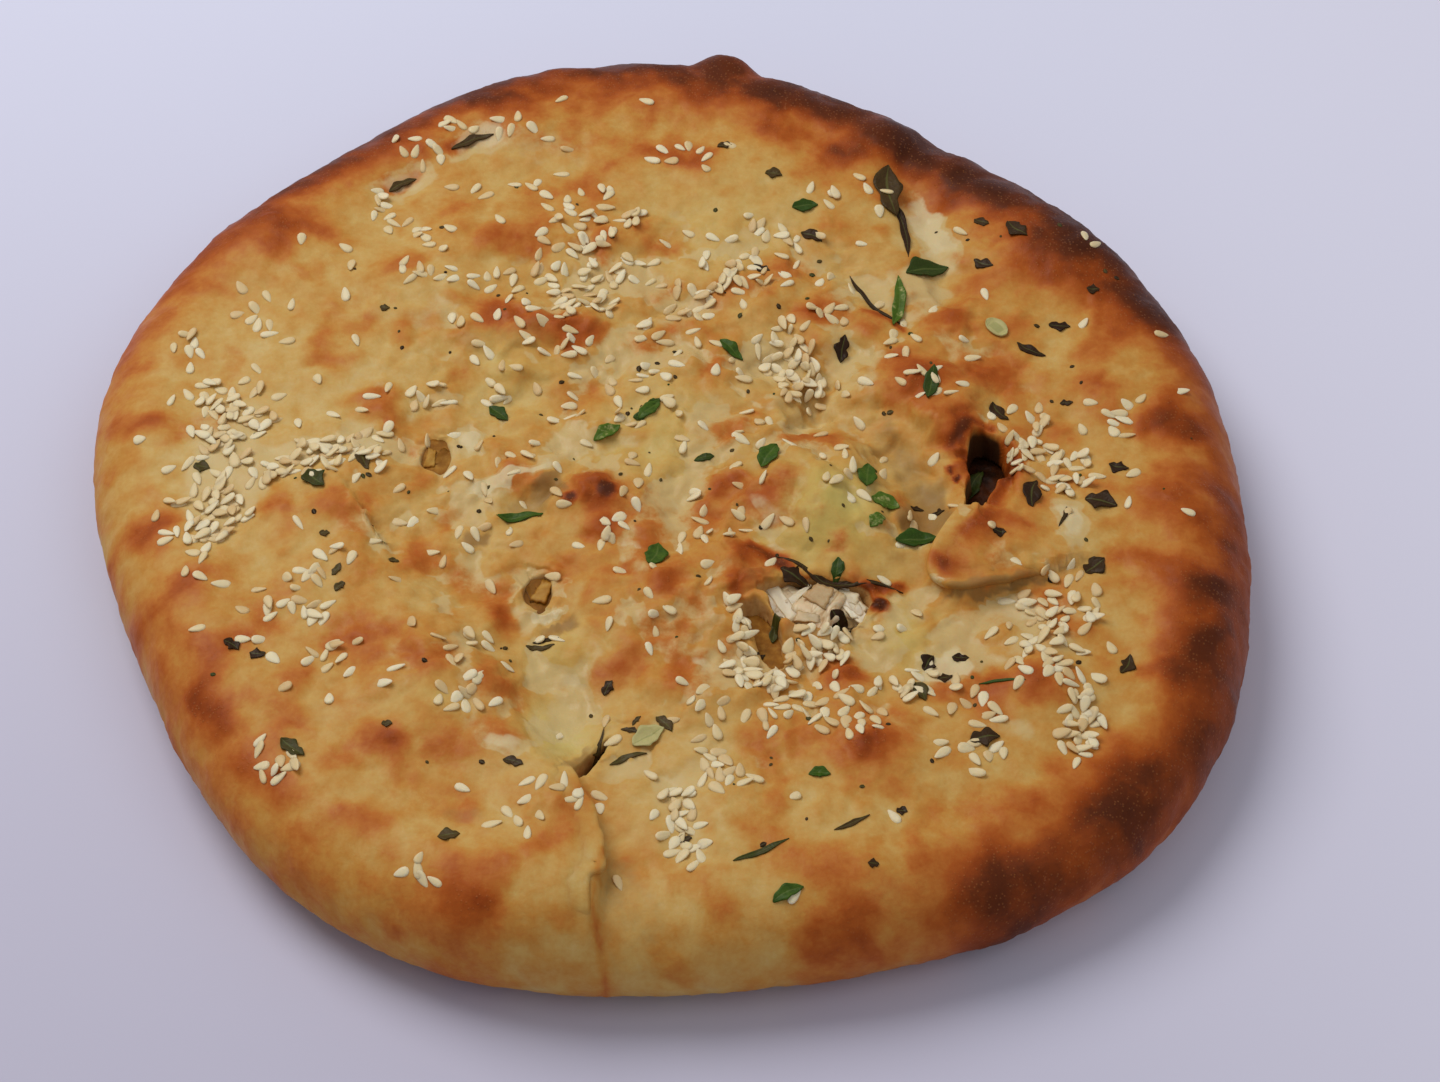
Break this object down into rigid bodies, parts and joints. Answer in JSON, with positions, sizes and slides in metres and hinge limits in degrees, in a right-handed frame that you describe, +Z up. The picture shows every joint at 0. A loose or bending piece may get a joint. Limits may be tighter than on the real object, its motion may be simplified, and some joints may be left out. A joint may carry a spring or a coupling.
{
  "type": "chicken naan",
  "caption": "Round filled flatbread, baked brown on its high places, torn open here and there over its chicken filling and strewn with sesame and herb leaves.",
  "frame": {"origin": "middle of the flat underside, on the surface that the bread lies on", "axes": "+Z up out of the strewn top, +X to the right and +Y away from the eater"},
  "size_m": [0.2289, 0.2351, 0.0305],
  "materials": {
    "crust": "baked and buttered crust, cream in the hollows and brown on the blisters",
    "filling": "moist minced filling",
    "chicken": "moist cooked chicken shreds",
    "onion": "soft browned onion, wet and a little clear",
    "herb": "wilted green leaf",
    "sesame": "smooth hulled seed with a dull sheen"
  },
  "bodies": {
    "root": {"bread": "crust", "filling": "filling", "chicken_1": "chicken", "chicken_2": "chicken", "chicken_3": "chicken", "onion_1": "onion", "onion_2": "onion", "onion_3": "onion", "herb_01": "herb", "herb_02": "herb", "herb_03": "herb", "herb_04": "herb", "herb_05": "herb", "herb_06": "herb", "herb_07": "herb", "herb_08": "herb", "herb_09": "herb", "herb_10": "herb", "herb_11": "herb", "herb_12": "herb", "herb_13": "herb", "herb_14": "herb", "herb_15": "herb", "herb_16": "herb", "herb_17": "herb", "herb_18": "herb", "herb_19": "herb", "herb_20": "herb", "herb_21": "herb", "herb_22": "herb", "herb_23": "herb", "herb_24": "herb", "herb_25": "herb", "herb_in_opening": "herb"}
  },
  "joints": []
}
